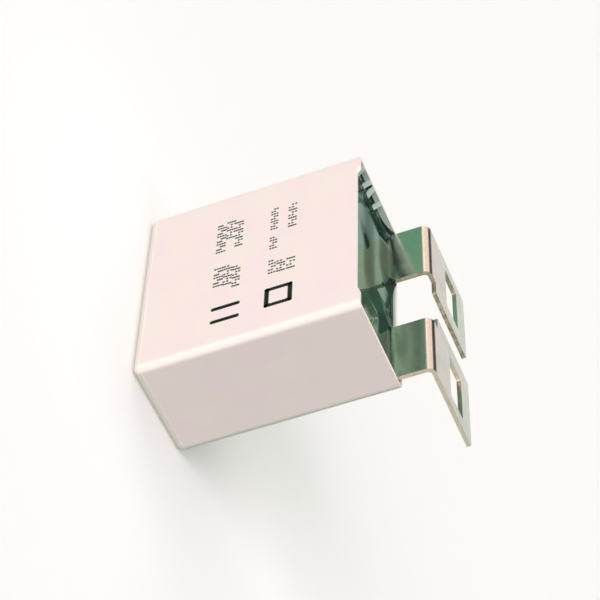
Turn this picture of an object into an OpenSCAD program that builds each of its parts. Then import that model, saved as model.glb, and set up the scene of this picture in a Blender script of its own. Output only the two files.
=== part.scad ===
// Box film capacitor: a flat roll of metallised film, potted in a moulded
// case, with two slotted copper lugs that screw straight onto a power module.
//
// The case stands on its closed base with the potted side up.
// X runs along the case, +Y points from the plain front to the back that the
// lugs reach over, +Z is up. The origin is the middle of the base.

/* [Case] */
// Length of the case
case_l = 42.5; // [42:0.5:46]
// Thickness of the case, front to back
case_t = 20; // [20:0.5:24]
// Height of the case, base to corner feet
case_h = 40.6; // [39.6:0.2:44]
// Thickness of the side walls
wall_t = 0.9; // [0.8:0.05:1]
// Thickness of the closed base
base_t = 1.2; // [1:0.1:1.6]
// Radius of the outer edges and corners
edge_r = 1.4; // [1:0.1:1.5]
// Radius of the upright corners inside
inner_r = 0.4; // [0.2:0.1:0.8]
// Depth of the rim between the corner feet
recess_d = 0.6; // [0.3:0.1:0.9]
// Length of the slope from a foot down to the rim
recess_ramp = 1; // [0.5:0.1:2]
// Length of each corner foot along the rim
foot_l = 3.6; // [3:0.1:5]

/* [Anchor ribs] */
// Thickness of a rib
rib_t = 1; // [0.7:0.1:1.2]
// Reach of a rib, in from the end wall
rib_out = 1.15; // [0.8:0.05:1.3]
// How far the tip of a rib leans aside
rib_lean = 0.35; // [0:0.05:0.5]
// Drop of a rib's sloping top, wall to tip
rib_drop = 1.4; // [0.8:0.1:2]
// Pitch of two ribs that lean together
rib_pair_pitch = 3.45; // [3:0.05:4]
// Pitch of the two middle ribs, which lean apart
rib_mid_pitch = 1.55; // [1.5:0.05:2]
// Middle of the ribs, towards the front of the case
rib_shift = 3.4; // [2.5:0.1:3.6]

/* [Potting resin] */
// Depth of the resin's level below the corner feet
resin_drop = 1.9; // [1.6:0.1:2.4]
// Radius of the curve where the resin wets the walls
meniscus_r = 0.8; // [0.6:0.1:1]
// How far up the walls the resin creeps
creep = 0.3; // [0.2:0.05:0.5]

/* [Film roll] */
// Width of the film, which is the length of the roll
film_w = 34.6; // [30:0.1:34.8]
// Height of the pressed roll with its tape
roll_h = 34.4; // [30:0.2:34.8]
// Thickness of the pressed roll with its tape
roll_t = 15.6; // [14:0.1:15.8]
// Thickness of the closing tape
wrap_t = 0.3; // [0.2:0.05:0.5]
// Thickness of the sprayed end contacts
spray_t = 0.8; // [0.5:0.1:0.8]
// Height of the roll's underside above the base
roll_z = 2; // [1.8:0.1:2.4]
// Gap between the roll and the front wall
roll_gap = 0.8; // [0.6:0.1:0.9]

/* [Lugs] */
// Thickness of the copper sheet
lug_t = 0.8; // [0.7:0.1:1]
// Height of the lugs' mounting faces above the base
lug_top = 47; // [46:0.2:52]
// Outer radius of the bend
bend_r = 1.5; // [1.3:0.1:2]
// Front face of the straps, behind the middle of the case
strap_y = 7.9; // [7.8:0.05:7.9]
// Width of a strap
strap_w = 13.45; // [11:0.05:14]
// Outer edges of the lugs, from the middle of the case
lug_x = 20; // [19.6:0.1:20.1]
// Free ends of the lugs, behind the middle of the case
lug_end = 27; // [26:0.5:32]
// Extra width of the flat part, towards the other lug
shoulder_w = 3.05; // [0.5:0.05:3.5]
// Length of the narrow neck behind the bend
neck_l = 1.5; // [0.5:0.1:3]
// Length of a mounting slot, along the case
slot_l = 10.4; // [7:0.1:11]
// Width of a mounting slot
slot_w = 6; // [4.2:0.1:6.6]
// Radius of the slot's corners
slot_r = 0.5; // [0.3:0.1:1]
// Distance between the middles of the two slots
slot_pitch = 24.5; // [22:0.5:26]
// Middle of the slots, in from the free ends
slot_in = 7.2; // [5:0.1:7.5]
// Radius of the flat part's corners
corner_r = 0.5; // [0.3:0.1:1]

/* [Ears] */
// Height of an ear, which lies on the end spray
ear_h = 11; // [8:0.5:14]
// Width of the leg between strap and ear
leg_w = 7; // [5:0.5:9]
// Underside of the straps above the base
strap_z = 35; // [34:0.5:37]
// Top of the ears above the base
ear_z = 32.5; // [30:0.5:33]
// Length of the ears, from the back of the strap
ear_l = 6.7; // [5:0.1:7]
// Inner radius of the ears' bend
ear_bend_r = 0.4; // [0.2:0.1:0.4]
// Width of the solder hole in an ear
solder_w = 2; // [1.5:0.1:2.4]
// Height of the solder hole in an ear
solder_h = 6; // [3:0.5:7]
// Margin of the solder pad around its hole
solder_rim = 0.7; // [0.3:0.1:0.8]
// Height of the solder pad above the ear
solder_t = 0.4; // [0.2:0.1:0.5]

/* [Hidden] */
$fn = 48;

over = 1;                                  // run-through of a cut
cavity_l = case_l - 2 * wall_t;
cavity_t = case_t - 2 * wall_t;
resin_z = case_h - resin_drop;             // flat part of the resin
recess_l = case_l - 2 * foot_l;            // rim between the feet
rib_sink = wall_t / 2;                     // root of a rib inside the wall
roll_y = roll_gap + roll_t / 2 - cavity_t / 2;
roll_mid_z = roll_z + roll_h / 2;
spray_x = film_w / 2 + spray_t;            // outer face of an end spray
strap_x = lug_x - strap_w;                 // inner edge of a strap
flat_x = strap_x - shoulder_w;             // inner edge of the flat part
bend_y = strap_y + bend_r;                 // centre of the lug's bend
bend_z = lug_top - bend_r;
neck_y = bend_y + neck_l;                  // start of the full width
slot_y = lug_end - slot_in;
ear_x = spray_x + lug_t;                   // outer face of an ear
ear_bend_out = ear_bend_r + lug_t;
leg_x = ear_x - ear_bend_out;              // where the ear's bend starts
ear_back = strap_y + lug_t;
ear_tip = ear_back - ear_l;
ear_mid_z = ear_z - ear_h / 2;
solder_y = (ear_tip + ear_back - ear_bend_out) / 2;

// Turns a flat outline in Y and Z into a prism along X.
module along_x(length) rotate([90, 0, 90]) linear_extrude(length) children();

// Turns a flat outline in X and Z into a prism along Y, about the XZ plane.
module along_y(length) rotate([90, 0, 0]) linear_extrude(length, center = true) children();

// The piece on the +X side, or its mirror image on the -X side.
module on_side(side) mirror([side == "left" ? 1 : 0, 0, 0]) children();

module rounded_plan(l, t, r) {
    square([l - 2 * r, t], center = true);
    square([l, t - 2 * r], center = true);
    for (x = [-1, 1], y = [-1, 1])
        translate([x * (l / 2 - r), y * (t / 2 - r)]) circle(r);
}

// Block with rounded upright edges, lower edges and lower corners.
module soft_block(l, t, h, r) {
    translate([0, 0, r]) linear_extrude(h - r) rounded_plan(l, t, r);
    linear_extrude(r) square([l - 2 * r, t - 2 * r], center = true);
    for (y = [-1, 1]) translate([0, y * (t / 2 - r), r])
        rotate([0, 90, 0]) cylinder(h = l - 2 * r, r = r, center = true);
    for (x = [-1, 1]) translate([x * (l / 2 - r), 0, r])
        rotate([90, 0, 0]) cylinder(h = t - 2 * r, r = r, center = true);
    for (x = [-1, 1], y = [-1, 1])
        translate([x * (l / 2 - r), y * (t / 2 - r), r]) sphere(r);
}

module flat_oval(h, t) {
    square([t, h - t], center = true);
    for (z = [-1, 1]) translate([0, z * (h - t) / 2]) circle(d = t);
}

module cavity(height) linear_extrude(height) rounded_plan(cavity_l, cavity_t, inner_r);

// Both long walls dip between the corner feet, so air and flux can pass.
module rim_recess() along_y(case_t + over) polygon([
    [-recess_l / 2, case_h + over],
    [-recess_l / 2, case_h],
    [-recess_l / 2 + recess_ramp, case_h - recess_d],
    [recess_l / 2 - recess_ramp, case_h - recess_d],
    [recess_l / 2, case_h],
    [recess_l / 2, case_h + over]
]);

module rib_plan(y, lean) polygon([
    [cavity_l / 2 + rib_sink, y - rib_t / 2],
    [cavity_l / 2, y - rib_t / 2],
    [cavity_l / 2 - rib_out, y + lean - rib_t / 2],
    [cavity_l / 2 - rib_out, y + lean + rib_t / 2],
    [cavity_l / 2, y + rib_t / 2],
    [cavity_l / 2 + rib_sink, y + rib_t / 2]
]);

// Four ribs on an end wall key the resin: each leans to or from its neighbour.
module anchor_ribs() intersection() {
    translate([0, 0, base_t - rib_sink]) linear_extrude(case_h) for (pair = [-1, 1]) {
        near = pair * rib_mid_pitch / 2 - rib_shift;
        rib_plan(near, pair * rib_lean);
        rib_plan(near + pair * rib_pair_pitch, -pair * rib_lean);
    }
    along_y(case_t) polygon([
        [cavity_l / 2 + rib_sink, 0],
        [cavity_l / 2 + rib_sink, case_h - recess_d],
        [cavity_l / 2, case_h],
        [cavity_l / 2 - rib_out, case_h - rib_drop],
        [cavity_l / 2 - rib_out, 0]
    ]);
}

module case() color("ivory") {
    difference() {
        soft_block(case_l, case_t, case_h, edge_r);
        translate([0, 0, base_t]) cavity(case_h);
        rim_recess();
    }
    for (side = ["left", "right"]) on_side(side) anchor_ribs();
}

// The resin fills what the roll, the lugs and the ribs leave of the cavity.
module potting_resin() color("darkslategray") difference() {
    translate([0, 0, base_t]) cavity(resin_z + creep - base_t);
    translate([0, 0, resin_z]) soft_block(cavity_l, cavity_t, case_h, meniscus_r);
    for (side = ["left", "right"]) on_side(side) {
        anchor_ribs();
        lug();
        solder();
    }
    roll(film_w + 2 * spray_t, roll_h, roll_t);
}

module roll(length, h, t)
    translate([-length / 2, roll_y, roll_mid_z]) along_x(length) flat_oval(h, t);

module film_winding() color("gainsboro")
    roll(film_w, roll_h - 2 * wrap_t, roll_t - 2 * wrap_t);

module winding_wrap() color("gold")
    translate([-film_w / 2, roll_y, roll_mid_z]) along_x(film_w) difference() {
        flat_oval(roll_h, roll_t);
        flat_oval(roll_h - 2 * wrap_t, roll_t - 2 * wrap_t);
    }

module end_spray() color("darkgray")
    translate([film_w / 2, roll_y, roll_mid_z]) along_x(spray_t) flat_oval(roll_h, roll_t);

// Strap, bend and flat part in one strip, seen from the end of the case.
module lug_profile() {
    translate([strap_y, strap_z]) square([lug_t, bend_z - strap_z]);
    translate([bend_y, lug_top - lug_t]) square([lug_end - bend_y, lug_t]);
    intersection() {
        translate([bend_y, bend_z]) difference() {
            circle(bend_r);
            circle(bend_r - lug_t);
        }
        translate([strap_y, bend_z]) square(bend_r);
    }
}

// Flat part with its wide shoulder and rounded corners, seen from above.
module flat_plan() {
    wide_l = lug_end - neck_y;
    translate([strap_x, strap_y - over]) square([strap_w, neck_y + over - strap_y]);
    translate([(flat_x + lug_x) / 2, (neck_y + lug_end) / 2])
        rounded_plan(lug_x - flat_x, wide_l, corner_r);
    translate([strap_x, neck_y - corner_r]) square([strap_w, 2 * corner_r]);
}

// Leg and ear: the leg runs down behind the roll and turns onto its end.
module ear_plan() {
    translate([leg_x - leg_w, strap_y]) square([leg_w, lug_t]);
    translate([spray_x, ear_tip]) square([lug_t, ear_l - ear_bend_out]);
    intersection() {
        translate([leg_x, ear_back - ear_bend_out]) difference() {
            circle(ear_bend_out);
            circle(ear_bend_r);
        }
        translate([leg_x, ear_back - ear_bend_out]) square(ear_bend_out);
    }
}

module lug() {
    intersection() {
        translate([flat_x, 0, 0]) along_x(lug_x - flat_x) lug_profile();
        linear_extrude(lug_top + over) difference() {
            flat_plan();
            translate([slot_pitch / 2, slot_y]) rounded_plan(slot_l, slot_w, slot_r);
        }
    }
    translate([leg_x - leg_w, strap_y, ear_z - ear_h])
        cube([leg_w, lug_t, strap_z - ear_z + ear_h]);
    difference() {
        translate([0, 0, ear_z - ear_h]) linear_extrude(ear_h) ear_plan();
        solder_plug();
    }
}

module lug_left() color("darkseagreen") on_side("left") lug();

module lug_right() color("darkseagreen") on_side("right") lug();

// Solder fills the hole of an ear and stands on it as a low pad.
module solder_plug() translate([spray_x, solder_y, ear_mid_z])
    along_x(lug_t) rounded_plan(solder_w, solder_h, solder_w / 4);

module solder() {
    solder_plug();
    translate([ear_x, solder_y, ear_mid_z]) along_x(solder_t)
        rounded_plan(solder_w + 2 * solder_rim, solder_h + 2 * solder_rim, solder_w / 2);
}

case();
potting_resin();
film_winding();
winding_wrap();
on_side("left") end_spray();  // end_spray_left
on_side("right") end_spray();  // end_spray_right
lug_left();
lug_right();
color("silver") on_side("left") solder();  // solder_left
color("silver") on_side("right") solder();  // solder_right
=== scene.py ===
"""Looks of a box film capacitor: moulded case, cast resin, tinned copper lugs, ink marks and a studio."""

import math

import bpy
import numpy as np
from bpy.props import FloatProperty, FloatVectorProperty, IntProperty, PointerProperty
from mathutils import Matrix, Vector, noise


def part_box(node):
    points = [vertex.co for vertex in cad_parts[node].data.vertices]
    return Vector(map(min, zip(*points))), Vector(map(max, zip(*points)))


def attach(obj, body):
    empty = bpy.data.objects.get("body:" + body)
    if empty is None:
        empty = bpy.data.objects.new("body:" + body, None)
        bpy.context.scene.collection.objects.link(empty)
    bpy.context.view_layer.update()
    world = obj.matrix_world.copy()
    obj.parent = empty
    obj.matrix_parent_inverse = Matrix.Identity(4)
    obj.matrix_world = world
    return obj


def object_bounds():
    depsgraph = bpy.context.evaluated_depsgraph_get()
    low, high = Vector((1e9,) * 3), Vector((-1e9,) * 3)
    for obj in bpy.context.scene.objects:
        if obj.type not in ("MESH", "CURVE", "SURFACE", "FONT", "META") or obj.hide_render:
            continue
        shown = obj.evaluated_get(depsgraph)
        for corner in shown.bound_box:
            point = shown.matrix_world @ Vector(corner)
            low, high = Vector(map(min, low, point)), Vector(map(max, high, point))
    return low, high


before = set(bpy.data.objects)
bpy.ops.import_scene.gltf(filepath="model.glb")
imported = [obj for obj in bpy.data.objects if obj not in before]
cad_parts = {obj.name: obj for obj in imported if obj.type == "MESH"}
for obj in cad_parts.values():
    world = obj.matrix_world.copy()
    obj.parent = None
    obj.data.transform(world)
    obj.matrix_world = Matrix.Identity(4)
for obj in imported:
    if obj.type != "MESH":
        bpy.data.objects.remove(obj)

bl_info = {
    "name": "Box film capacitor",
    "version": (1, 0, 0),
    "blender": (4, 5, 0),
    "location": "3D View > Sidebar > Capacitor",
    "description": "Finishes, resin surface, ink marks and studio for a potted box film capacitor",
    "category": "Object",
}

MM = 0.001
BODY = "root"

CASE_LOW, CASE_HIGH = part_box("case")
RESIN_LOW, RESIN_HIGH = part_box("potting_resin")
LUG_LOW, LUG_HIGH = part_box("lug_right")
CAD_LOW, CAD_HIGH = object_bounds()


def linear(hex_colour):
    """Turns an sRGB hex colour into linear red, green and blue."""
    parts = [int(hex_colour[i : i + 2], 16) / 255 for i in (1, 3, 5)]
    return tuple(c / 12.92 if c <= 0.04045 else ((c + 0.055) / 1.055) ** 2.4 for c in parts)


def length(name, description, millimetres):
    """A length property; its default is given in millimetres."""
    default = millimetres * MM
    return FloatProperty(name=name, description=description, default=default, unit="LENGTH", precision=5)


def colour(name, description, hex_colour):
    """A colour property; its default is given as sRGB hex."""
    return FloatVectorProperty(
        name=name, description=description, default=linear(hex_colour), subtype="COLOR", size=3, min=0, max=1
    )


class CaseFinish(bpy.types.PropertyGroup):
    """Moulded plastic of the case."""

    plastic: colour("Plastic", "Main colour of the moulded plastic", "#F5E1E4")
    plastic_tint: colour("Tint", "Colour of its faint clouds", "#F4E6E0")
    # Painted highlight: the rounded edges are drawn in this paler colour, standing in for the light that
    # they catch.
    edge: colour("Edges", "Colour of the plastic on its rounded edges", "#FCF5EC")
    # Painted shade: the inner walls above the resin are drawn darker and greener, standing in for their
    # shade and the green light bounced from the resin.
    inside: colour("Inside", "Colour of the plastic above the resin", "#AEC3B4")
    speck: colour("Specks", "Colour of fine dust on the plastic", "#B3AAA0")
    cloud_size: length("Cloud size", "Spacing of the faint clouds", 9)
    grain_size: length("Grain size", "Spacing of the mould's fine grain", 0.35)
    speck_size: length("Speck spacing", "Spacing of the dust specks", 3.4)
    wall: length("Wall", "Thickness of the case's walls", 0.9)
    corner: length("Corner radius", "Radius of the case's upright edges", 1.4)
    line_z: length("Mould line height", "Height of the mould line above the base", 1.42)
    line_width: length("Mould line width", "Width of the mould line", 0.14)
    line_out: length("Mould line depth", "How far the mould line stands out", 0.035)


class ResinShape(bpy.types.PropertyGroup):
    """Cast surface of the potting resin."""

    resin: colour("Resin", "Colour of the resin", "#1B332A")
    resin_deep: colour("Resin, darker", "Colour of its darker streaks", "#10201A")
    sheen: colour("Sheen", "Tint of the resin's reflections", "#F7FFFC")
    grid: length("Grid", "Spacing of the surface's points", 0.125)
    skin: length("Skin", "Depth of the surface piece below the level", 0.08)
    creep: length("Creep", "Height of the CAD resin's edge above its level", 0.3)
    lift: length("Lift", "Lowest height of the surface above that level", 0.03)
    end_rise: length("End rise", "How far the resin climbs the end walls", 0.6)
    end_reach: length("End reach", "How far that curve reaches inwards", 0.6)
    pocket_rise: length("Pocket rise", "How much further it climbs between ribs", 0.3)
    slit_rise: length("Slit rise", "How far it climbs between the middle ribs", 1.6)
    side_rise: length("Side rise", "How far the resin climbs the long walls", 0.42)
    side_reach: length("Side reach", "How far that curve reaches inwards", 1.4)
    strap_rise: length("Strap rise", "How far the resin climbs the straps", 0.32)
    strap_reach: length("Strap reach", "How far the steep curve reaches out", 0.26)
    foot_rise: length("Foot rise", "Height of the wide swell round a strap", 0.5)
    foot_reach: length("Foot reach", "How far the wide swell reaches out", 4.7)
    rib_rise: length("Rib rise", "How far the resin climbs the ribs", 0.4)
    rib_reach: length("Rib reach", "How far that curve reaches out", 0.3)
    step: length("Step", "Height of the long swell in front of the straps", 0.45)
    corner_rise: length("Corner rise", "How much further it climbs beside a strap", 1.3)
    corner_reach: length("Corner reach", "How far that corner curve reaches", 1.8)
    wrinkle: length("Wrinkle", "Height of the wrinkle between the straps", 0.05)
    wave: length("Wave height", "Height of the long waves", 0.03)
    wave_size: length("Wave size", "Length of the long waves", 7)
    bubble: length("Bubble", "Radius of the bubble at a strap's root", 0.75)


class LugFinish(bpy.types.PropertyGroup):
    """Tinned sheet of the lugs, and the sizes that the resin surface needs."""

    tin: colour("Tin", "Colour of the tin plate", "#DFCBC7")
    # Also painted on the straps' front faces, as a painted reflection of the darker surroundings that they
    # face.
    tin_dull: colour("Tin, dull", "Colour of the duller patches", "#CED4C5")
    stain: colour("Stain", "Colour of the stains near the resin", "#6E9A9E")
    cut: colour("Cut edge", "Colour of the sheared edges", "#F4DECB")
    cut_dull: colour("Cut edge, dull", "Colour of their duller places", "#A9A285")
    patch_size: length("Patch size", "Spacing of the dull patches", 4)
    peel_size: length("Peel size", "Spacing of the tin's fine ripple", 0.3)
    strap_width: length("Strap width", "Width of a strap", 13.45)
    strap_front: length("Strap front", "Front of the straps behind the middle", 7.9)
    sheet: length("Sheet", "Thickness of the copper sheet", 0.8)


class CoreFinish(bpy.types.PropertyGroup):
    """Pieces sealed in the resin."""

    film: colour("Film", "Colour of the metallised film", "#BFC3C6")
    tape: colour("Tape", "Colour of the closing tape", "#CFA84A")
    zinc: colour("Zinc", "Colour of the sprayed zinc", "#8F9294")
    solder: colour("Solder", "Colour of the solder", "#C4C6C8")
    turn_size: length("Turn spacing", "Drawn spacing of the film's turns", 0.25)
    spray_size: length("Spray grain", "Grain of the sprayed zinc", 0.2)


class InkMarks(bpy.types.PropertyGroup):
    """Plain ink marks on the front: rows of fine bars, two thick bars and a hollow square."""

    ink: colour("Ink", "Colour of the fine marks", "#143F30")
    ink_bold: colour("Ink, bold", "Colour of the large marks", "#0E241B")
    dot: length("Dot", "Diameter of an ink dot", 0.46)
    dot_bold: length("Dot, bold", "Diameter of a dot in the large marks", 0.95)
    film: length("Ink film", "Thickness of the ink", 0.012)
    bar_pitch: length("Bar pitch", "Pitch of the fine bars", 0.75)
    sides: IntProperty(name="Sides", description="Sides of an ink dot", default=10, min=6, max=24)


def strength(name, description, value):
    """Strength of a light."""
    return FloatProperty(name=name, description=description, default=value, min=0)


def angle(name, description, degrees):
    """An angle property; its default is given in degrees."""
    return FloatProperty(name=name, description=description, default=math.radians(degrees), subtype="ANGLE")


class Studio(bpy.types.PropertyGroup):
    """Floor, lights and camera."""

    floor: colour("Floor", "Colour of the floor", "#F6F6F4")
    wall: colour("Surround", "Light from all round", "#ABB0AC")
    ceiling: colour("Ceiling", "Light from high up", "#3F4F45")
    ground: colour("Ground", "Light from far below that the object gets", "#CFC6BF")
    below: colour("Below", "Light from below that the object gets", "#79AC90")
    front: colour("Front lamp", "Colour of the front light", "#FFF1F8")
    top: colour("Top lamp", "Colour of the light above", "#FFFFFF")
    key: colour("Key lamp", "Colour of the key light", "#FFECDC")
    back: colour("Back lamp", "Colour of the back light", "#FFF8F4")
    key_strength: strength("Key strength", "Strength of the key light", 0.7)
    front_strength: strength("Front strength", "Strength of the front light", 2.95)
    top_strength: strength("Top strength", "Strength of the light above", 1.82)
    back_strength: strength("Back strength", "Strength of the back fill", 0.1)
    floor_size: length("Floor size", "Length of the floor's sides", 60000)
    azimuth: angle("Azimuth", "Camera's turn from the front", 54.25)
    elevation: angle("Elevation", "Camera's height angle", 14.33)
    roll: angle("Roll", "Camera's roll", 73.2)
    distance: length("Distance", "Camera's distance from what it looks at", 375)
    lens: FloatProperty(name="Lens", description="Focal length in millimetres", default=127.3)


# ---------------------------------------------------------------- materials


NOISE = "ShaderNodeTexNoise"
RANGE = "ShaderNodeMapRange"
MIX = "ShaderNodeMix"
MATH = "ShaderNodeMath"
PLACE = "ShaderNodeTexCoord"
PARTS = "ShaderNodeSeparateXYZ"
BUMP = "ShaderNodeBump"
PLASTIC_IOR = 1.55
# How deep below the lugs' end faces still counts as their cut edge.
END_DEPTH = 0.02 * MM
# The heights above the resin between which the stains on the straps fade.
STAIN_FADE = (1.5 * MM, 4.5 * MM)


def add(tree, kind, inputs=None, give=None, **settings):
    """Adds a node, sets its properties, and sets or links its inputs.

    It gives the output of that name, or the node where no output is named."""
    node = tree.nodes.new(kind)
    for key, value in settings.items():
        setattr(node, key, value)
    for key, value in (inputs or {}).items():
        socket = node.inputs[key]
        if isinstance(value, bpy.types.NodeSocket):
            tree.links.new(value, socket)
        elif socket.type == "RGBA":
            socket.default_value = (*value, 1)
        else:
            socket.default_value = value
    return node if give is None else node.outputs[give]


def new_material(name):
    """An empty node material with its output and main shader, as (material, tree, shader)."""
    material = bpy.data.materials.new(name)
    material.use_nodes = True
    tree = material.node_tree
    tree.nodes.clear()
    shader = add(tree, "ShaderNodeBsdfPrincipled")
    add(tree, "ShaderNodeOutputMaterial", {"Surface": shader.outputs["BSDF"]})
    return material, tree, shader


def facing(tree):
    """How far the surface faces along each of the object's axes, without sign, as sockets."""
    normal = add(tree, "ShaderNodeNewGeometry", give="True Normal")
    turn = {"convert_from": "WORLD", "convert_to": "OBJECT", "vector_type": "NORMAL"}
    own = add(tree, "ShaderNodeVectorTransform", {"Vector": normal}, "Vector", **turn)
    unsigned = add(tree, "ShaderNodeVectorMath", {0: own}, "Vector", operation="ABSOLUTE")
    return add(tree, PARTS, {"Vector": unsigned}).outputs


def moulded_polyester(props):
    """PBT from a fine-grained mould: satin white with faint clouds and dust, a painted highlight on its
    rounded edges, and painted shade on its inner walls above the resin.
    """
    material, tree, shader = new_material("PBT_moulded")
    place = add(tree, PLACE, give="Object")
    cloud_shape = {"Vector": place, "Scale": 1 / props.cloud_size, "Detail": 3, "Roughness": 0.6}
    clouds = add(tree, NOISE, cloud_shape, "Fac")
    tint = add(tree, RANGE, {"Value": clouds, "From Min": 0.35, "From Max": 0.65}, "Result")
    colours = {"Factor": tint, "A": props.plastic, "B": props.plastic_tint}
    skin = add(tree, MIX, colours, "Result", data_type="RGBA")

    # Painted highlight: where the surface turns between two faces, its colour fades towards the paler edge
    # colour.
    sides = facing(tree)
    upright = add(tree, MATH, {0: sides["X"], 1: sides["Y"]}, "Value", operation="MAXIMUM")
    flat = add(tree, MATH, {0: upright, 1: sides["Z"]}, "Value", operation="MAXIMUM")
    fade = {"Value": flat, "From Min": 0.93, "From Max": 0.998, "To Min": 0.8, "To Max": 0}
    rounded = add(tree, RANGE, fade, "Result")
    skin = add(tree, MIX, {"Factor": rounded, "A": skin, "B": props.edge}, "Result", data_type="RGBA")

    # Painted shade: the plastic inside the walls and above the resin takes the darker green inside colour.
    distance = add(tree, "ShaderNodeVectorMath", {0: place}, "Vector", operation="ABSOLUTE")
    at = add(tree, PARTS, {"Vector": distance}).outputs
    depth = props.wall * 0.9
    deep_x = add(tree, MATH, {0: at["X"], 1: CASE_HIGH.x - depth}, "Value", operation="LESS_THAN")
    deep_y = add(tree, MATH, {0: at["Y"], 1: CASE_HIGH.y - depth}, "Value", operation="LESS_THAN")
    high = add(tree, MATH, {0: at["Z"], 1: RESIN_LOW.z}, "Value", operation="GREATER_THAN")
    deep = add(tree, MATH, {0: deep_x, 1: deep_y}, "Value", operation="MULTIPLY")
    painted_shade_inside = add(tree, MATH, {0: deep, 1: high}, "Value", operation="MULTIPLY")
    skin = add(tree, MIX, {"Factor": painted_shade_inside, "A": skin, "B": props.inside}, "Result", data_type="RGBA")

    spacing = {"Vector": place, "Scale": 1 / props.speck_size}
    dust = add(tree, "ShaderNodeTexVoronoi", spacing, "Distance", feature="F1")
    fade = {"Value": dust, "From Min": 0.02, "From Max": 0.045, "To Min": 0.35, "To Max": 0}
    specks = add(tree, RANGE, fade, "Result")
    skin = add(tree, MIX, {"Factor": specks, "A": skin, "B": props.speck}, "Result", data_type="RGBA")
    grain_shape = {"Vector": place, "Scale": 1 / props.grain_size, "Detail": 2, "Roughness": 0.5}
    grain = add(tree, NOISE, grain_shape, "Fac")
    relief = add(tree, BUMP, {"Height": grain, "Strength": 0.06, "Distance": 0.04 * MM}, "Normal")
    satin = add(tree, RANGE, {"Value": clouds, "To Min": 0.34, "To Max": 0.46}, "Result")
    tree.links.new(skin, shader.inputs["Base Color"])
    tree.links.new(satin, shader.inputs["Roughness"])
    tree.links.new(relief, shader.inputs["Normal"])
    shader.inputs["IOR"].default_value = PLASTIC_IOR
    return material


def band(tree, value, low, high, soft):
    """1 between two values and 0 outside them, with soft ends, as a socket."""
    rise = add(tree, RANGE, {"Value": value, "From Min": low - soft, "From Max": low + soft}, "Result")
    ends = {"From Min": high - soft, "From Max": high + soft, "To Min": 1, "To Max": 0}
    fall = add(tree, RANGE, {"Value": value, **ends}, "Result")
    return add(tree, MATH, {0: rise, 1: fall}, "Value", operation="MULTIPLY")


# The dull streak along the middle of the resin: its front and back edges, how soft they are, how far and
# over what length they waver, and where and to what share it fades on the right.
STREAK_EDGES = (-3 * MM, 1.4 * MM)
STREAK_SOFT = 0.5 * MM
WAVER, WAVER_SIZE = 0.5 * MM, 3 * MM
STREAK_FADE = (2 * MM, 6 * MM)
STREAK_RIGHT = 0.25
# The one in front of the straps: its edges, their softness, and how far back and over what half width it
# steps between the straps.
STRAP_STREAK_EDGES = (3.3 * MM, 6.9 * MM)
STRAP_STREAK_SOFT = 0.25 * MM
STEP_BACK = 2.6 * MM
STEP_HALF = (5 * MM, 7 * MM)


def dull_streaks(tree, place):
    """The two streaks in front of the straps where the resin's skin set duller, as a socket."""
    bend_shape = {"Vector": place, "Scale": 1 / WAVER_SIZE, "Detail": 3, "Roughness": 0.6}
    bends = add(tree, NOISE, bend_shape, "Fac")
    shift = {"From Min": 0.3, "From Max": 0.7, "To Min": -WAVER, "To Max": WAVER}
    bent = add(tree, RANGE, {"Value": bends, **shift}, "Result")
    at = add(tree, PARTS, {"Vector": place}).outputs
    across = add(tree, MATH, {0: at["Y"], 1: bent}, "Value", operation="ADD")
    streak = band(tree, across, *STREAK_EDGES, STREAK_SOFT)
    fade = {"From Min": STREAK_FADE[0], "From Max": STREAK_FADE[1], "To Min": 1, "To Max": STREAK_RIGHT}
    faded = add(tree, RANGE, {"Value": at["X"], **fade}, "Result")
    middle = add(tree, MATH, {0: streak, 1: faded}, "Value", operation="MULTIPLY")
    wide = add(tree, MATH, {0: at["X"], 1: 0}, "Value", operation="ABSOLUTE")
    back = {"From Min": STEP_HALF[0], "From Max": STEP_HALF[1], "To Min": STEP_BACK, "To Max": 0}
    between = add(tree, RANGE, {"Value": wide, **back}, "Result")
    level = add(tree, MATH, {0: at["Y"], 1: between}, "Value", operation="SUBTRACT")
    near = band(tree, level, *STRAP_STREAK_EDGES, STRAP_STREAK_SOFT)
    return add(tree, MATH, {0: middle, 1: near}, "Value", operation="MAXIMUM")


def cast_resin(props):
    """Filled epoxy cast in place: dark green-grey, with the mirror skin of a liquid that set.

    The coat does not reflect. It only tints what the resin mirrors, as its clear top layer does."""
    material, tree, shader = new_material("epoxy_cast")
    place = add(tree, PLACE, give="Object")
    streak_size = props.wave_size * 0.4
    streak_shape = {"Vector": place, "Scale": 1 / streak_size, "Detail": 4, "Roughness": 0.6}
    streaks = add(tree, NOISE, streak_shape, "Fac")
    colours = {"Factor": streaks, "A": props.resin_deep, "B": props.resin}
    body = add(tree, MIX, colours, "Result", data_type="RGBA")
    polish = add(tree, RANGE, {"Value": streaks, "To Min": 0.02, "To Max": 0.07}, "Result")
    dull = dull_streaks(tree, place)
    mirror = add(tree, RANGE, {"Value": dull, "To Min": 0.5, "To Max": 0.14}, "Result")
    tree.links.new(body, shader.inputs["Base Color"])
    tree.links.new(polish, shader.inputs["Roughness"])
    tree.links.new(mirror, shader.inputs["Specular IOR Level"])
    shader.inputs["IOR"].default_value = PLASTIC_IOR
    shader.inputs["Coat Weight"].default_value = 1
    shader.inputs["Coat IOR"].default_value = 1
    shader.inputs["Coat Tint"].default_value = (*props.sheen, 1)
    return material


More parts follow.
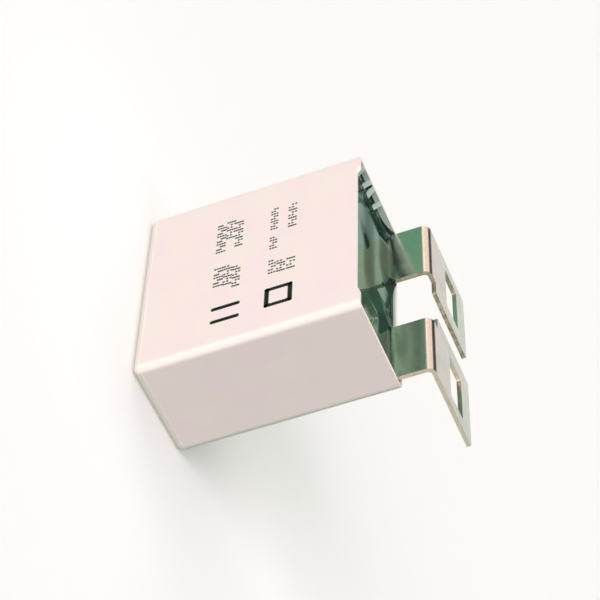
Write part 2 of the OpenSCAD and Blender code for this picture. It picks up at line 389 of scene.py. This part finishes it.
def tinned_copper(props):
    """Copper strip, tin plated and then sheared: a satin skin with dull patches, and rough cut edges.

    Near the resin it has blue-green stains."""
    material, tree, shader = new_material("tinned_copper")
    place = add(tree, PLACE, give="Object")
    at = add(tree, PARTS, {"Vector": place}).outputs
    dull_shape = {"Vector": place, "Scale": 1 / props.patch_size, "Detail": 5, "Roughness": 0.65}
    dull = add(tree, NOISE, dull_shape, "Fac")
    reach = {"From Min": props.strap_front, "From Max": LUG_HIGH.y, "To Min": -0.15, "To Max": 0.3}
    outward = add(tree, RANGE, {"Value": at["Y"], **reach}, "Result")
    # Painted reflection: the straps' front faces get a larger share of the duller green tin, standing in for
    # the darker surroundings that they mirror.
    strap_back = props.strap_front + 0.1 * MM
    front = {"From Min": props.strap_front, "From Max": strap_back, "To Min": 0.45, "To Max": 0}
    painted_front_reflection = add(tree, RANGE, {"Value": at["Y"], **front}, "Result")
    duller = add(tree, MATH, {0: dull, 1: outward}, "Value", operation="ADD")
    dullest = add(tree, MATH, {0: duller, 1: painted_front_reflection}, "Value", operation="ADD")
    aged = add(tree, RANGE, {"Value": dullest, "From Min": 0.35, "From Max": 0.75}, "Result")
    colours = {"Factor": aged, "A": props.tin, "B": props.tin_dull}
    skin = add(tree, MIX, colours, "Result", data_type="RGBA")

    fine_size = props.peel_size * 1.5
    fine_shape = {"Vector": place, "Scale": 1 / fine_size, "Detail": 2, "Roughness": 0.6}
    fine = add(tree, NOISE, fine_shape, "Fac")
    thin = {"From Min": 0.35, "From Max": 0.65, "To Min": 0, "To Max": 0.16}
    flecks = add(tree, RANGE, {"Value": fine, **thin}, "Result")
    skin = add(tree, MIX, {"Factor": flecks, "A": skin, "B": props.stain}, "Result", data_type="RGBA")
    stain_size = props.patch_size * 0.7
    stain_shape = {"Vector": place, "Scale": 1 / stain_size, "Detail": 4, "Roughness": 0.6}
    stains = add(tree, NOISE, stain_shape, "Fac")
    marks = add(tree, RANGE, {"Value": stains, "From Min": 0.54, "From Max": 0.66}, "Result")
    low, top = (RESIN_HIGH.z + height for height in STAIN_FADE)
    fade = {"Value": at["Z"], "From Min": low, "From Max": top, "To Min": 0.75, "To Max": 0}
    near_resin = add(tree, RANGE, fade, "Result")
    stained = add(tree, MATH, {0: marks, 1: near_resin}, "Value", operation="MULTIPLY")
    skin = add(tree, MIX, {"Factor": stained, "A": skin, "B": props.stain}, "Result", data_type="RGBA")

    side_cut = add(tree, MATH, {0: facing(tree)["X"], 1: 0.5}, "Value", operation="GREATER_THAN")
    end = LUG_HIGH.y - END_DEPTH
    end_cut = add(tree, MATH, {0: at["Y"], 1: end}, "Value", operation="GREATER_THAN")
    cut = add(tree, MATH, {0: side_cut, 1: end_cut}, "Value", operation="MAXIMUM")
    # Painted shade: the left lug's cut edges are drawn duller and the right one's brighter, standing in for
    # the left lug lying more in shade. The torn noise is real wear.
    sides = {"From Min": -1 * MM, "From Max": 1 * MM, "To Min": 0.15, "To Max": -0.1}
    left = add(tree, RANGE, {"Value": at["X"], **sides}, "Result")
    torn_size = props.patch_size / 4
    torn_shape = {"Vector": place, "Scale": 1 / torn_size, "Detail": 4, "Roughness": 0.7}
    torn = add(tree, NOISE, torn_shape, "Fac")
    rough = add(tree, MATH, {0: torn, 1: left}, "Value", operation="ADD")
    worn_and_shaded = add(tree, RANGE, {"Value": rough, "From Min": 0.45, "From Max": 0.7}, "Result")
    edge = add(tree, MIX, {"Factor": worn_and_shaded, "A": props.cut, "B": props.cut_dull}, "Result", data_type="RGBA")
    surface = add(tree, MIX, {"Factor": cut, "A": skin, "B": edge}, "Result", data_type="RGBA")

    satin = add(tree, RANGE, {"Value": dull, "To Min": 0.12, "To Max": 0.3}, "Result")
    sheared = add(tree, RANGE, {"Value": cut, "To Min": 0, "To Max": 0.25}, "Result")
    roughness = add(tree, MATH, {0: satin, 1: sheared}, "Value", operation="ADD")
    metal = add(tree, RANGE, {"Value": cut, "To Min": 1, "To Max": 0.35}, "Result")
    peel_shape = {"Vector": place, "Scale": 1 / props.peel_size, "Detail": 2, "Roughness": 0.5}
    peel = add(tree, NOISE, peel_shape, "Fac")
    relief = add(tree, BUMP, {"Height": peel, "Strength": 0.12, "Distance": 0.03 * MM}, "Normal")
    tree.links.new(surface, shader.inputs["Base Color"])
    tree.links.new(metal, shader.inputs["Metallic"])
    tree.links.new(roughness, shader.inputs["Roughness"])
    tree.links.new(relief, shader.inputs["Normal"])
    return material


def grained(name, rgb, size, metallic, roughness, depth):
    """A plain material with a fine random grain, for the pieces sealed in the resin."""
    material, tree, shader = new_material(name)
    place = add(tree, PLACE, give="Object")
    grain_shape = {"Vector": place, "Scale": 1 / size, "Detail": 4, "Roughness": 0.6}
    grain = add(tree, NOISE, grain_shape, "Fac")
    relief = add(tree, BUMP, {"Height": grain, "Strength": 0.5, "Distance": depth}, "Normal")
    darker = [c * 0.7 for c in rgb]
    body = add(tree, MIX, {"Factor": grain, "A": rgb, "B": darker}, "Result", data_type="RGBA")
    tree.links.new(body, shader.inputs["Base Color"])
    tree.links.new(relief, shader.inputs["Normal"])
    shader.inputs["Metallic"].default_value = metallic
    shader.inputs["Roughness"].default_value = roughness
    return material


def wound_film(props):
    """Metallised polypropylene, wound and pressed: silvery, with the edges of its turns as fine lines.

    The real turns are far too fine to show, so they are drawn much coarser."""
    material, tree, shader = new_material("polypropylene_metallised")
    place = add(tree, PLACE, give="Object")
    bands = {"Vector": place, "Scale": 1 / props.turn_size / 20, "Distortion": 0.4, "Detail": 1}
    turns = add(tree, "ShaderNodeTexWave", bands, "Fac", bands_direction="Y")
    darker = [c * 0.75 for c in props.film]
    body = add(tree, MIX, {"Factor": turns, "A": props.film, "B": darker}, "Result", data_type="RGBA")
    tree.links.new(body, shader.inputs["Base Color"])
    shader.inputs["Metallic"].default_value = 0.6
    shader.inputs["Roughness"].default_value = 0.25
    return material


def pigment_ink(name, rgb):
    """Ink jet pigment dried on plastic: thin, matt and slightly uneven."""
    material, tree, shader = new_material(name)
    place = add(tree, PLACE, give="Object")
    uneven_shape = {"Vector": place, "Scale": 1 / (0.8 * MM), "Detail": 2, "Roughness": 0.6}
    uneven = add(tree, NOISE, uneven_shape, "Fac")
    paler = [min(1, c * 1.6) for c in rgb]
    body = add(tree, MIX, {"Factor": uneven, "A": rgb, "B": paler}, "Result", data_type="RGBA")
    tree.links.new(body, shader.inputs["Base Color"])
    shader.inputs["Roughness"].default_value = 0.6
    return material


def painted_floor(props):
    """Matt studio floor, with a barely visible roller texture."""
    material, tree, shader = new_material("floor_paint")
    place = add(tree, PLACE, give="Object")
    roller_shape = {"Vector": place, "Scale": 1 / (4 * MM), "Detail": 2, "Roughness": 0.6}
    roller = add(tree, NOISE, roller_shape, "Fac")
    darker = [c * 0.985 for c in props.floor]
    tone = add(tree, MIX, {"Factor": roller, "A": props.floor, "B": darker}, "Result", data_type="RGBA")
    tree.links.new(tone, shader.inputs["Base Color"])
    shader.inputs["Roughness"].default_value = 0.8
    return material


def finish_node(name, material):
    """Gives a CAD node its material."""
    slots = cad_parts[name].data.materials
    slots.clear()
    slots.append(material)


def new_piece(name, vertices, faces, material, smooth=False):
    """A mesh object with one material, in the scene."""
    mesh = bpy.data.meshes.new(name)
    mesh.from_pydata(vertices, [], faces)
    mesh.materials.append(material)
    mesh.polygons.foreach_set("use_smooth", [smooth] * len(mesh.polygons))
    mesh.update()
    piece = bpy.data.objects.new(name, mesh)
    bpy.context.scene.collection.objects.link(piece)
    return piece


# ---------------------------------------------------------------- mould line


# How far the line's edges are let into the wall, and how many steps round each corner it has.
LINE_SUNK = 0.01 * MM
CORNER_STEPS = 10


def case_outline(corner, out):
    """Points round the case's outline, that far outside it, with their rounded corners."""
    points = []
    middle = Vector((CASE_HIGH.x - corner, CASE_HIGH.y - corner))
    for quarter, (a, b) in enumerate(((1, 1), (-1, 1), (-1, -1), (1, -1))):
        for i in range(CORNER_STEPS + 1):
            turn = math.radians(90) * (quarter + i / CORNER_STEPS)
            centre = Vector((a * middle.x, b * middle.y))
            points.append(centre + (corner + out) * Vector((math.cos(turn), math.sin(turn))))
    return points


def mould_line(props, material):
    """The fine line round the case near its base where the two halves of the mould met."""
    half = props.line_width / 2
    profile = ((-half, -LINE_SUNK), (0, props.line_out), (half, -LINE_SUNK))
    rings = [[(p.x, p.y, props.line_z + z) for p in case_outline(props.corner, out)] for z, out in profile]
    count = len(rings[0])
    faces = []
    for ring in range(3):
        for i in range(count):
            after = (i + 1) % count
            upper = (ring + 1) % 3
            faces.append((ring * count + i, ring * count + after, upper * count + after, upper * count + i))
    return new_piece("mould_line", sum(rings, []), faces, material)


# ---------------------------------------------------------------- resin surface

# The anchor ribs of one end wall, front to back: where each one leaves the wall, and where it leans.
RIB_PLACES = ((-7.625, 1), (-4.175, -1), (-2.625, 1), (0.825, -1))
RIB_OUT = 1.15 * MM
RIB_LEAN = 0.35 * MM
RIB_HALF = 0.5 * MM
RIB_DROP = 1.4 * MM
RIB_CLEAR = 0.12 * MM
# Where the ribbed part of the wall ends, and half the width that the slit between the middle ribs fills.
RIBS_END = (1.2 * MM, 2.2 * MM)
SLIT_HALF = 0.55 * MM
# The long swell: where its slope starts and ends, how far the start moves forward towards the left wall,
# over which stretch it does so, and how the swell fades at the end walls and to the right.
SWELL_FOOT, SWELL_TOP = -3.6 * MM, 1.6 * MM
SWELL_SHIFT = 2.6 * MM
SHIFT_REACH = (4 * MM, 10 * MM)
SWELL_ENDS = (0.8 * MM, 6 * MM)
SWELL_RIGHT = (2 * MM, 8 * MM)
# The wrinkle: its start, its run and its half width.
WRINKLE_START = np.array([11.2, 1.4]) * MM
WRINKLE_RUN = np.array([4.3, -1.9]) * MM
WRINKLE_HALF = 0.22 * MM
# The bubble's middle, measured from the left strap's inner front edge, and its flatness and roundness.
BUBBLE_PLACE = (0.2 * MM, -0.1 * MM)
BUBBLE_FLATNESS, BUBBLE_ROUNDNESS = 0.8, 0.7
# How much closer the waves lie along Y than along X, and which slice of the noise they are.
WAVE_SQUEEZE = 1.3
WAVE_SLICE = 7.3 * MM
# How sharply neighbouring curves run together, and how far the resin stays below the rim.
BLEND_POWER = 2.5
RIM_ROOM = 0.05 * MM


def distance_to_box(x, y, low, high):
    """Distance from points to a rectangle; it is 0 inside."""
    dx = np.maximum(np.maximum(low[0] - x, x - high[0]), 0)
    dy = np.maximum(np.maximum(low[1] - y, y - high[1]), 0)
    return np.hypot(dx, dy)


def distance_to_rib(x, y, root, tip):
    """Distance from points to a rib, and how far along it the nearest place is."""
    run = tip - root
    along = ((x - root[0]) * run[0] + (y - root[1]) * run[1]) / (run @ run)
    along = np.clip(along, 0, 1)
    gap = np.hypot(x - root[0] - along * run[0], y - root[1] - along * run[1])
    return np.maximum(gap - RIB_HALF, 0), along


def ramp(value, low, high):
    """Rises smoothly from 0 to 1 between two values."""
    t = np.clip((value - low) / (high - low), 0, 1)
    return t * t * (3 - 2 * t)


def strap_edges(side, lug):
    """Lowest and highest X of a strap."""
    return sorted((side * LUG_HIGH.x, side * (LUG_HIGH.x - lug.strap_width)))


def climb_of_walls(x, y, shape, lug):
    """How far the resin climbs the walls: more between ribs, and most in the corners beside a strap."""
    end_gap = RESIN_HIGH.x - np.abs(x)
    side_gap = RESIN_HIGH.y - np.abs(y)
    held = 1 - ramp(y, *RIBS_END)
    before = np.maximum(lug.strap_front - y, 0)
    corner = shape.corner_rise * np.exp(-before / shape.corner_reach)
    rise = shape.end_rise + shape.pocket_rise * held + corner
    slit = (RIB_PLACES[1][0] + RIB_PLACES[2][0]) / 2 * MM
    across = np.exp(-(((y - slit) / SLIT_HALF) ** 4))
    end = rise * np.exp(-end_gap / shape.end_reach)
    filled = shape.slit_rise * across * np.exp(-end_gap / shape.end_reach)
    inner = LUG_HIGH.x - lug.strap_width
    to_strap = np.maximum(inner - np.abs(x), 0)
    beside = np.exp(-to_strap / shape.strap_reach / 3) * ramp(y, 0, lug.strap_front)
    side = (shape.side_rise + shape.corner_rise / 2 * beside) * np.exp(-side_gap / shape.side_reach)
    return [end, filled, side]


def climb_of_ribs(x, y, shape):
    """How far the resin climbs each rib, held below the rib's sloping top."""
    level = RESIN_HIGH.z - shape.creep
    climbs = []
    for side in (-1, 1):
        for place, lean in RIB_PLACES:
            root = np.array([side * RESIN_HIGH.x, place * MM])
            tip = np.array([side * (RESIN_HIGH.x - RIB_OUT), place * MM + lean * RIB_LEAN])
            gap, along = distance_to_rib(x, y, root, tip)
            room = CASE_HIGH.z - RIB_DROP * along - level - RIB_CLEAR
            climbs.append(np.minimum(shape.rib_rise, room) * np.exp(-gap / shape.rib_reach))
    return climbs


def marks_of_setting(x, y, shape, lug):
    """What else the resin kept as it set: a long swell, waves, a wrinkle and a bubble."""
    foot = SWELL_FOOT - SWELL_SHIFT * ramp(-x, *SHIFT_REACH)
    rise = ramp((y - foot) / (SWELL_TOP - foot), 0, 1)
    fade = ramp(RESIN_HIGH.x - np.abs(x), *SWELL_ENDS) * (1 - ramp(x, *SWELL_RIGHT))
    swell = shape.step * rise * fade
    spots = zip(x.ravel(), y.ravel())
    places = [Vector((a, b * WAVE_SQUEEZE, WAVE_SLICE)) / shape.wave_size for a, b in spots]
    wave = shape.wave * (np.reshape([noise.noise(place) for place in places], x.shape) + 0.5)
    run = WRINKLE_RUN
    along = ((x - WRINKLE_START[0]) * run[0] + (y - WRINKLE_START[1]) * run[1]) / (run @ run)
    across = ((y - WRINKLE_START[1]) * run[0] - (x - WRINKLE_START[0]) * run[1]) / np.hypot(*run)
    kept = np.exp(-(((along - 0.5) / 0.6) ** 4))
    wrinkle = shape.wrinkle * np.exp(-((across / WRINKLE_HALF) ** 2)) * kept
    middle_x = -(LUG_HIGH.x - lug.strap_width) + BUBBLE_PLACE[0]
    middle_y = lug.strap_front + BUBBLE_PLACE[1]
    near = np.clip(1 - ((x - middle_x) ** 2 + (y - middle_y) ** 2) / shape.bubble**2, 0, 1)
    return swell + wave + wrinkle + shape.bubble * BUBBLE_FLATNESS * near**BUBBLE_ROUNDNESS


def resin_height(x, y, shape, lug):
    """Height of the set resin: a level, with a curve up each wall, rib and strap, and marks of setting."""
    climbs = climb_of_walls(x, y, shape, lug) + climb_of_ribs(x, y, shape)
    for side in (-1, 1):
        low_x, high_x = strap_edges(side, lug)
        gap = distance_to_box(x, y, (low_x, lug.strap_front), (high_x, lug.strap_front + lug.sheet))
        steep = shape.strap_rise * np.exp(-gap / shape.strap_reach)
        climbs.append(steep + shape.foot_rise * (1 - ramp(gap, 0, shape.foot_reach)))
    climb = sum(c**BLEND_POWER for c in climbs) ** (1 / BLEND_POWER)
    level = RESIN_HIGH.z - shape.creep
    height = level + shape.lift + climb + marks_of_setting(x, y, shape, lug)
    return np.minimum(height, CASE_HIGH.z - RIM_ROOM)


def resin_surface(shape, lug, material):
    """A closed skin on top of the CAD resin, with the waves and the curves that the liquid left."""
    columns = round((RESIN_HIGH.x - RESIN_LOW.x) / shape.grid)
    rows = round((RESIN_HIGH.y - RESIN_LOW.y) / shape.grid)
    x, y = np.meshgrid(
        np.linspace(RESIN_LOW.x, RESIN_HIGH.x, columns + 1), np.linspace(RESIN_LOW.y, RESIN_HIGH.y, rows + 1)
    )
    z = resin_height(x, y, shape, lug)
    vertices = np.stack([x, y, z], -1).reshape(-1, 3).tolist()
    wide = columns + 1
    faces = [
        (r * wide + c, r * wide + c + 1, (r + 1) * wide + c + 1, (r + 1) * wide + c)
        for r in range(rows)
        for c in range(columns)
    ]
    rim = list(range(columns)) + [r * wide + columns for r in range(rows)]
    rim += [rows * wide + c for c in range(columns, 0, -1)] + [r * wide for r in range(rows, 0, -1)]
    floor_z = RESIN_HIGH.z - shape.creep - shape.skin
    first = len(vertices)
    vertices += [(vertices[i][0], vertices[i][1], floor_z) for i in rim]
    count = len(rim)
    for i, top in enumerate(rim):
        after = (i + 1) % count
        faces.append((first + i, first + after, rim[after], top))
    faces.append(tuple(first + i for i in reversed(range(count))))
    return new_piece("resin_surface", vertices, faces, material, smooth=True)


# ---------------------------------------------------------------- ink marks

# Rows of fine bars as (start in X, end in X, low in Z, high in Z), in millimetres on the front face.
FINE_ROWS = (
    (5.0, 0.2, 14.1, 15.5),
    (-4.6, -12.3, 14.1, 15.5),
    (5.2, 0.2, 15.9, 17.2),
    (-8.0, -12.6, 15.9, 17.2),
    (6.4, 1.0, 17.6, 18.7),
    (-5.0, -11.8, 17.6, 18.7),
    (5.9, 2.6, 24.3, 25.3),
    (-1.0, -4.0, 24.3, 25.3),
    (-6.6, -12.4, 24.3, 25.3),
    (6.0, 3.2, 25.8, 27.0),
    (6.0, 3.4, 27.6, 28.8),
    (-5.9, -12.2, 27.6, 28.8),
)
BAR_PLACES = (11.4, 14.8)
BAR_LOW, BAR_HIGH = 14.4, 18.8
SQUARE_MIDDLE = (12.6, 26.2)
SQUARE_SIDE = 4.2
# Pitch of the dots as a share of their diameter, and how far they are let into the plastic.
FINE_SPACING, BOLD_SPACING = 0.95, 0.6
INK_SUNK = 0.005 * MM


def dots_along(start, end, pitch):
    """Evenly spaced places from start to end."""
    count = max(1, round((end - start).length / pitch))
    return [start.lerp(end, i / count) for i in range(count + 1)]


def ink_dots(name, places, diameter, props, material):
    """Thin round ink dots on the front face, at the given places in X and Z."""
    vertices, faces = [], []
    face_y = CASE_LOW.y
    sides = props.sides
    for place in places:
        first = len(vertices)
        for y in (face_y + INK_SUNK, face_y - props.film):
            for i in range(sides):
                turn = math.tau * i / sides
                vertices.append(
                    (place.x + diameter / 2 * math.cos(turn), y, place.y + diameter / 2 * math.sin(turn))
                )
        faces.append(tuple(first + i for i in reversed(range(sides))))
        faces.append(tuple(first + sides + i for i in range(sides)))
        for i in range(sides):
            after = (i + 1) % sides
            faces.append((first + i, first + after, first + sides + after, first + sides + i))
    return new_piece(name, vertices, faces, material)


# ---------------------------------------------------------------- operators


class CAPACITOR_OT_case(bpy.types.Operator):
    """Gives the case its moulded plastic and its mould line"""

    bl_idname = "box_capacitor.finish_case"
    bl_label = "Finish the case"

    def execute(self, context):
        props = context.scene.capacitor_case
        plastic = moulded_polyester(props)
        finish_node("case", plastic)
        line = mould_line(props, plastic)
        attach(line, BODY)
        return {"FINISHED"}


class CAPACITOR_OT_core(bpy.types.Operator):
    """Gives the pieces sealed in the resin their materials"""

    bl_idname = "box_capacitor.finish_core"
    bl_label = "Finish the sealed pieces"

    def execute(self, context):
        props = context.scene.capacitor_core
        finish_node("film_winding", wound_film(props))
        tape = grained("polyester_tape", props.tape, 3 * MM, metallic=0, roughness=0.3, depth=0.01 * MM)
        finish_node("winding_wrap", tape)
        zinc = grained(
            "zinc_flame_sprayed", props.zinc, props.spray_size, metallic=1, roughness=0.65, depth=0.08 * MM
        )
        solder = grained("tin_solder", props.solder, 1.5 * MM, metallic=1, roughness=0.3, depth=0.02 * MM)
        for side in ("left", "right"):
            finish_node(f"end_spray_{side}", zinc)
            finish_node(f"solder_{side}", solder)
        return {"FINISHED"}


class CAPACITOR_OT_lugs(bpy.types.Operator):
    """Gives both lugs their tinned copper"""

    bl_idname = "box_capacitor.finish_lugs"
    bl_label = "Finish the lugs"

    def execute(self, context):
        metal = tinned_copper(context.scene.capacitor_lugs)
        for side in ("left", "right"):
            finish_node(f"lug_{side}", metal)
        return {"FINISHED"}


class CAPACITOR_OT_resin(bpy.types.Operator):
    """Pours the resin's surface over the cast block"""

    bl_idname = "box_capacitor.pour_resin"
    bl_label = "Pour the resin"

    def execute(self, context):
        shape = context.scene.capacitor_resin
        material = cast_resin(shape)
        finish_node("potting_resin", material)
        surface = resin_surface(shape, context.scene.capacitor_lugs, material)
        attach(surface, BODY)
        return {"FINISHED"}


class CAPACITOR_OT_marks(bpy.types.Operator):
    """Prints plain bars and a square on the front of the case"""

    bl_idname = "box_capacitor.print_marks"
    bl_label = "Print the marks"

    def execute(self, context):
        props = context.scene.capacitor_marks
        fine = []
        for start, end, low, high in FINE_ROWS:
            middle = (low + high) / 2
            count = round((start - end) * MM / props.bar_pitch)
            for i in range(count + 1):
                x = (start + (end - start) * i / count) * MM
                first, last = ((low, high), (low, middle), (middle, high))[i % 3]
                pitch = props.dot * FINE_SPACING
                fine += dots_along(Vector((x, first * MM)), Vector((x, last * MM)), pitch)
        bold = []
        pitch = props.dot_bold * BOLD_SPACING
        for x in BAR_PLACES:
            bold += dots_along(Vector((x, BAR_LOW)) * MM, Vector((x, BAR_HIGH)) * MM, pitch)
        half = SQUARE_SIDE / 2
        signs = ((1, 1), (-1, 1), (-1, -1), (1, -1))
        corners = [Vector(SQUARE_MIDDLE) + Vector(sign) * half for sign in signs]
        for i, corner in enumerate(corners):
            bold += dots_along(corner * MM, corners[(i + 1) % 4] * MM, pitch)
        for name, places, dot, rgb in (
            ("ink_fine", fine, props.dot, props.ink),
            ("ink_bold", bold, props.dot_bold, props.ink_bold),
        ):
            marks = ink_dots(name, places, dot, props, pigment_ink(name, rgb))
            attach(marks, BODY)
        return {"FINISHED"}


# Soft lamps: the direction that each one stands in, and its width in degrees as the object sees it.
LAMPS = (
    ("key", (-0.84, -0.37, 0.4), 50),
    ("front", (0.48, -0.8, 0.37), 50),
    ("top", (-0.1, 0.1, 1), 60),
    ("back", (-0.8, 0.58, 0.13), 28),
)
# Heights in the surround, from -1 straight below to 1 straight above, between which its colours fade.
GROUND_FADE = (-0.6, -0.4)
HORIZON_FADE = (-0.03, 0)
CEILING_FADE = (0.25, 0.33)
# What the camera looks at, measured from the middle of the object.
AIM_OFFSET = Vector((-5.1, -3.4, 0.1)) * MM


class CAPACITOR_OT_studio(bpy.types.Operator):
    """Sets up the floor, the soft lights and the camera"""

    bl_idname = "box_capacitor.set_studio"
    bl_label = "Set the studio"

    def execute(self, context):
        props = context.scene.capacitor_studio
        half = props.floor_size / 2
        corners = [(-half, -half, 0), (half, -half, 0), (half, half, 0), (-half, half, 0)]
        floor = new_piece("floor", corners, [(0, 1, 2, 3)], painted_floor(props))
        floor.visible_glossy = False
        floor.visible_diffuse = False
        context.scene.world = surround(props)
        middle = (CAD_LOW + CAD_HIGH) / 2
        for name, toward, width in LAMPS:
            soft_light(name, toward, width, getattr(props, f"{name}_strength"), getattr(props, name))
        place_camera(context.scene, props, middle)
        context.scene.view_settings.view_transform = "Standard"
        return {"FINISHED"}


def surround(props):
    """Light from all round: a pale wall, a dim ceiling, and a green band and a pale ground below."""
    world = bpy.data.worlds.new("surround")
    world.use_nodes = True
    tree = world.node_tree
    direction = add(tree, PLACE, give="Generated")
    height = add(tree, PARTS, {"Vector": direction}, "Z")
    light = props.ground
    zones = ((GROUND_FADE, props.below), (HORIZON_FADE, props.wall), (CEILING_FADE, props.ceiling))
    for (low, high), tone in zones:
        ends = {"Value": height, "From Min": low, "From Max": high}
        share = add(tree, RANGE, ends, "Result")
        light = add(tree, MIX, {"Factor": share, "A": light, "B": tone}, "Result", data_type="RGBA")
    tree.links.new(light, tree.nodes["Background"].inputs["Color"])
    return world


def soft_light(name, toward, width, strength, rgb):
    """A far soft box, that many degrees wide as the object sees it."""
    data = bpy.data.lights.new(name, "SUN")
    data.angle = math.radians(width)
    data.energy = strength
    data.color = rgb
    light = bpy.data.objects.new(name, data)
    bpy.context.scene.collection.objects.link(light)
    light.rotation_euler = (-Vector(toward)).to_track_quat("-Z", "Y").to_euler()


def place_camera(scene, props, middle):
    """The camera orbits a point near the middle of the object, and is rolled so the lugs point right."""
    aim = middle + AIM_OFFSET
    flat = math.cos(props.elevation)
    toward = Vector(
        (flat * math.sin(props.azimuth), -flat * math.cos(props.azimuth), math.sin(props.elevation))
    )
    data = bpy.data.cameras.new("camera")
    data.lens = props.lens
    camera = bpy.data.objects.new("camera", data)
    scene.collection.objects.link(camera)
    turn = (-toward).to_track_quat("-Z", "Y").to_matrix().to_4x4()
    camera.matrix_world = (
        Matrix.Translation(aim + toward * props.distance) @ turn @ Matrix.Rotation(props.roll, 4, "Z")
    )
    scene.camera = camera


class CAPACITOR_PT_panel(bpy.types.Panel):
    """Lists every step of the capacitor's looks"""

    bl_idname = "CAPACITOR_PT_panel"
    bl_label = "Box film capacitor"
    bl_space_type = "VIEW_3D"
    bl_region_type = "UI"
    bl_category = "Capacitor"

    def draw(self, context):
        for operator, group in STEPS:
            box = self.layout.box()
            box.operator(operator.bl_idname)
            props = getattr(context.scene, group)
            for key in props.__annotations__:
                box.prop(props, key)


GROUPS = (
    ("capacitor_case", CaseFinish),
    ("capacitor_core", CoreFinish),
    ("capacitor_lugs", LugFinish),
    ("capacitor_resin", ResinShape),
    ("capacitor_marks", InkMarks),
    ("capacitor_studio", Studio),
)
STEPS = (
    (CAPACITOR_OT_studio, "capacitor_studio"),
    (CAPACITOR_OT_case, "capacitor_case"),
    (CAPACITOR_OT_core, "capacitor_core"),
    (CAPACITOR_OT_lugs, "capacitor_lugs"),
    (CAPACITOR_OT_resin, "capacitor_resin"),
    (CAPACITOR_OT_marks, "capacitor_marks"),
)


def register():
    for name, group in GROUPS:
        bpy.utils.register_class(group)
        setattr(bpy.types.Scene, name, PointerProperty(type=group))
    for operator, _ in STEPS:
        bpy.utils.register_class(operator)
    bpy.utils.register_class(CAPACITOR_PT_panel)


def unregister():
    bpy.utils.unregister_class(CAPACITOR_PT_panel)
    for operator, _ in reversed(STEPS):
        bpy.utils.unregister_class(operator)
    for name, group in reversed(GROUPS):
        delattr(bpy.types.Scene, name)
        bpy.utils.unregister_class(group)


def main():
    """Dresses the capacitor and sets the studio."""
    register()
    for operator, _ in STEPS:
        category, action = operator.bl_idname.split(".")
        getattr(getattr(bpy.ops, category), action)()


if __name__ == "__main__":
    main()
